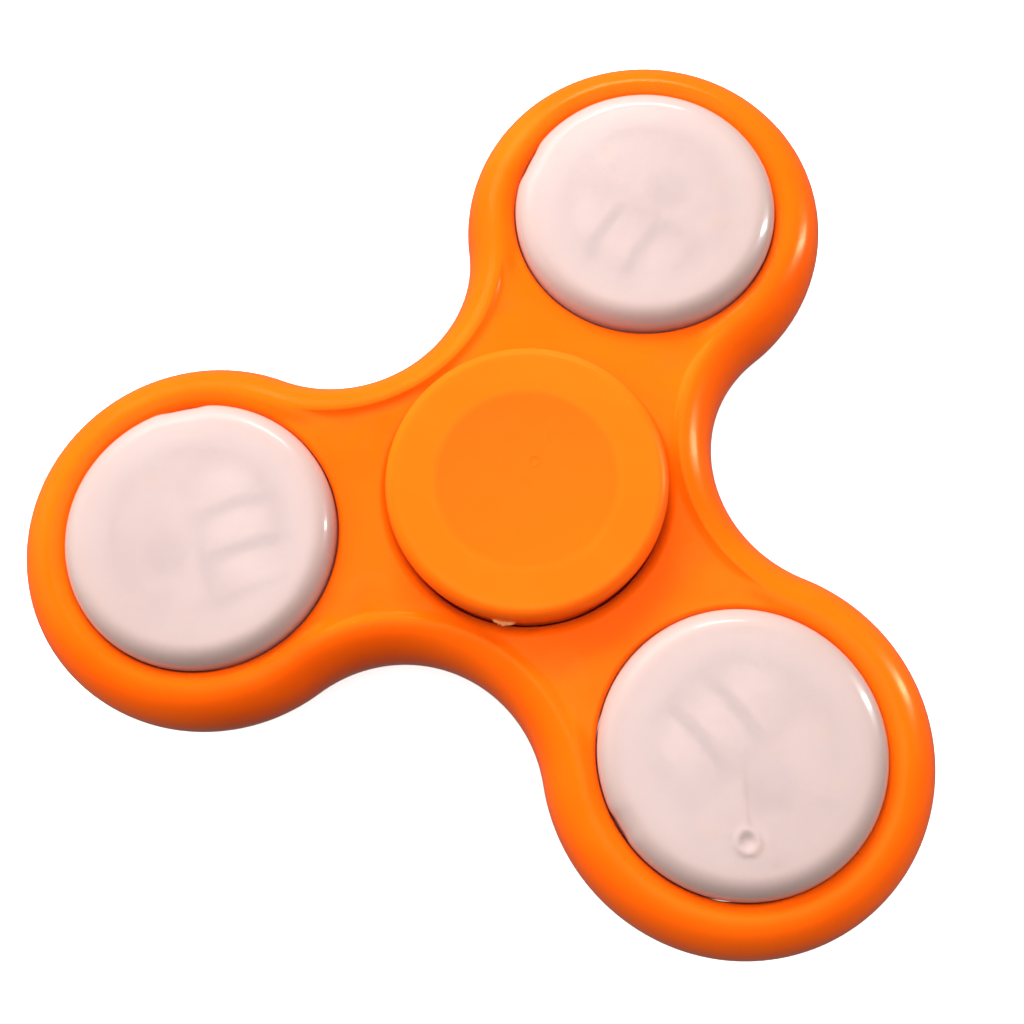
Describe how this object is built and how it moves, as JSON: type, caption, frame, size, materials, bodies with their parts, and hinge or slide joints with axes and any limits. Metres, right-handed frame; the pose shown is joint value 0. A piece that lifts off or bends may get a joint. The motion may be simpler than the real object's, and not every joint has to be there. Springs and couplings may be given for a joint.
{
  "type": "fidget spinner",
  "caption": "Three-arm light-up fidget spinner: an orange frame turns on a ball bearing between dished finger caps, with a milky light pod in each arm.",
  "frame": {"origin": "centre of the ball bearing, on the spin axis, halfway through the thickness", "axes": "+Z along the spin axis, out of the front finger cap and away from the push buttons; arm a points along +Y, and arms b and c follow anticlockwise at 120 degrees"},
  "size_m": [0.0764, 0.0703, 0.014],
  "materials": {
    "frame_orange": "polished moulding",
    "cap_orange": "satin moulding",
    "pod_diffuser": "milky, see-through",
    "button_plastic": "polished moulding",
    "bearing_steel": "ground",
    "ball_steel": "polished",
    "shield_steel": "pressed sheet",
    "cage_nylon": "moulded",
    "board_fibreglass": "white solder mask",
    "emitter_resin": "clear resin on a white case",
    "chip_resin": "cast resin",
    "resistor_ceramic": "coated ceramic",
    "switch_plastic": "moulded",
    "contact_metal": "nickel plated strip",
    "cell_steel": "nickel plated"
  },
  "bodies": {
    "hub": {"bearing_inner_race": "bearing_steel", "top_cap": "cap_orange", "bottom_cap": "cap_orange"},
    "rotor": {"frame": "frame_orange", "bearing_outer_race": "bearing_steel", "bearing_shield_top": "shield_steel", "bearing_shield_bottom": "shield_steel", "dome_top_a": "pod_diffuser", "dome_bottom_a": "pod_diffuser", "circuit_board_a": "board_fibreglass", "light_emitters_a": "emitter_resin", "driver_chip_a": "chip_resin", "resistor_a": "resistor_ceramic", "switch_body_a": "switch_plastic", "positive_clip_a": "contact_metal", "negative_clip_a": "contact_metal", "cell_1_a": "cell_steel", "cell_2_a": "cell_steel", "cell_3_a": "cell_steel", "dome_top_b": "pod_diffuser", "dome_bottom_b": "pod_diffuser", "circuit_board_b": "board_fibreglass", "light_emitters_b": "emitter_resin", "driver_chip_b": "chip_resin", "resistor_b": "resistor_ceramic", "switch_body_b": "switch_plastic", "positive_clip_b": "contact_metal", "negative_clip_b": "contact_metal", "cell_1_b": "cell_steel", "cell_2_b": "cell_steel", "cell_3_b": "cell_steel", "dome_top_c": "pod_diffuser", "dome_bottom_c": "pod_diffuser", "circuit_board_c": "board_fibreglass", "light_emitters_c": "emitter_resin", "driver_chip_c": "chip_resin", "resistor_c": "resistor_ceramic", "switch_body_c": "switch_plastic", "positive_clip_c": "contact_metal", "negative_clip_c": "contact_metal", "cell_1_c": "cell_steel", "cell_2_c": "cell_steel", "cell_3_c": "cell_steel"},
    "ball_cage": {"bearing_cage": "cage_nylon"},
    "ball_1": {"bearing_ball_1": "ball_steel"},
    "ball_2": {"bearing_ball_2": "ball_steel"},
    "ball_3": {"bearing_ball_3": "ball_steel"},
    "ball_4": {"bearing_ball_4": "ball_steel"},
    "ball_5": {"bearing_ball_5": "ball_steel"},
    "ball_6": {"bearing_ball_6": "ball_steel"},
    "ball_7": {"bearing_ball_7": "ball_steel"},
    "button_a": {"push_button_a": "button_plastic"},
    "button_b": {"push_button_b": "button_plastic"},
    "button_c": {"push_button_c": "button_plastic"}
  },
  "joints": [
    {"name": "rotor_spin", "type": "hinge", "parent": "hub", "child": "rotor", "pos_m": [0, 0, 0], "axis": [0, 0, 1], "continuous": true},
    {"name": "cage_spin", "type": "hinge", "parent": "hub", "child": "ball_cage", "pos_m": [0, 0, 0], "axis": [0, 0, 1], "continuous": true},
    {"name": "ball_1_roll", "type": "hinge", "parent": "ball_cage", "child": "ball_1", "pos_m": [0, 0.0075, 0], "axis": [0, 0, 1], "continuous": true},
    {"name": "ball_2_roll", "type": "hinge", "parent": "ball_cage", "child": "ball_2", "pos_m": [-0.00586, 0.00468, 0], "axis": [0, 0, 1], "continuous": true},
    {"name": "ball_3_roll", "type": "hinge", "parent": "ball_cage", "child": "ball_3", "pos_m": [-0.00731, -0.00167, 0], "axis": [0, 0, 1], "continuous": true},
    {"name": "ball_4_roll", "type": "hinge", "parent": "ball_cage", "child": "ball_4", "pos_m": [-0.00325, -0.00676, 0], "axis": [0, 0, 1], "continuous": true},
    {"name": "ball_5_roll", "type": "hinge", "parent": "ball_cage", "child": "ball_5", "pos_m": [0.00325, -0.00676, 0], "axis": [0, 0, 1], "continuous": true},
    {"name": "ball_6_roll", "type": "hinge", "parent": "ball_cage", "child": "ball_6", "pos_m": [0.00731, -0.00167, 0], "axis": [0, 0, 1], "continuous": true},
    {"name": "ball_7_roll", "type": "hinge", "parent": "ball_cage", "child": "ball_7", "pos_m": [0.00586, 0.00468, 0], "axis": [0, 0, 1], "continuous": true},
    {"name": "button_a_press", "type": "slide", "parent": "rotor", "child": "button_a", "axis": [0, 0, 1], "range_m": [0, 0.00025], "stiffness_N_per_m": 4500, "springref_m": -0.0001},
    {"name": "button_b_press", "type": "slide", "parent": "rotor", "child": "button_b", "axis": [0, 0, 1], "range_m": [0, 0.00025], "stiffness_N_per_m": 4500, "springref_m": -0.0001},
    {"name": "button_c_press", "type": "slide", "parent": "rotor", "child": "button_c", "axis": [0, 0, 1], "range_m": [0, 0.00025], "stiffness_N_per_m": 4500, "springref_m": -0.0001}
  ],
  "couplings": [
    {"joint": "cage_spin", "follows": "rotor_spin", "ratio": 0.6323},
    {"joint": "ball_1_roll", "follows": "rotor_spin", "ratio": 1.7573},
    {"joint": "ball_2_roll", "follows": "rotor_spin", "ratio": 1.7573},
    {"joint": "ball_3_roll", "follows": "rotor_spin", "ratio": 1.7573},
    {"joint": "ball_4_roll", "follows": "rotor_spin", "ratio": 1.7573},
    {"joint": "ball_5_roll", "follows": "rotor_spin", "ratio": 1.7573},
    {"joint": "ball_6_roll", "follows": "rotor_spin", "ratio": 1.7573},
    {"joint": "ball_7_roll", "follows": "rotor_spin", "ratio": 1.7573}
  ]
}
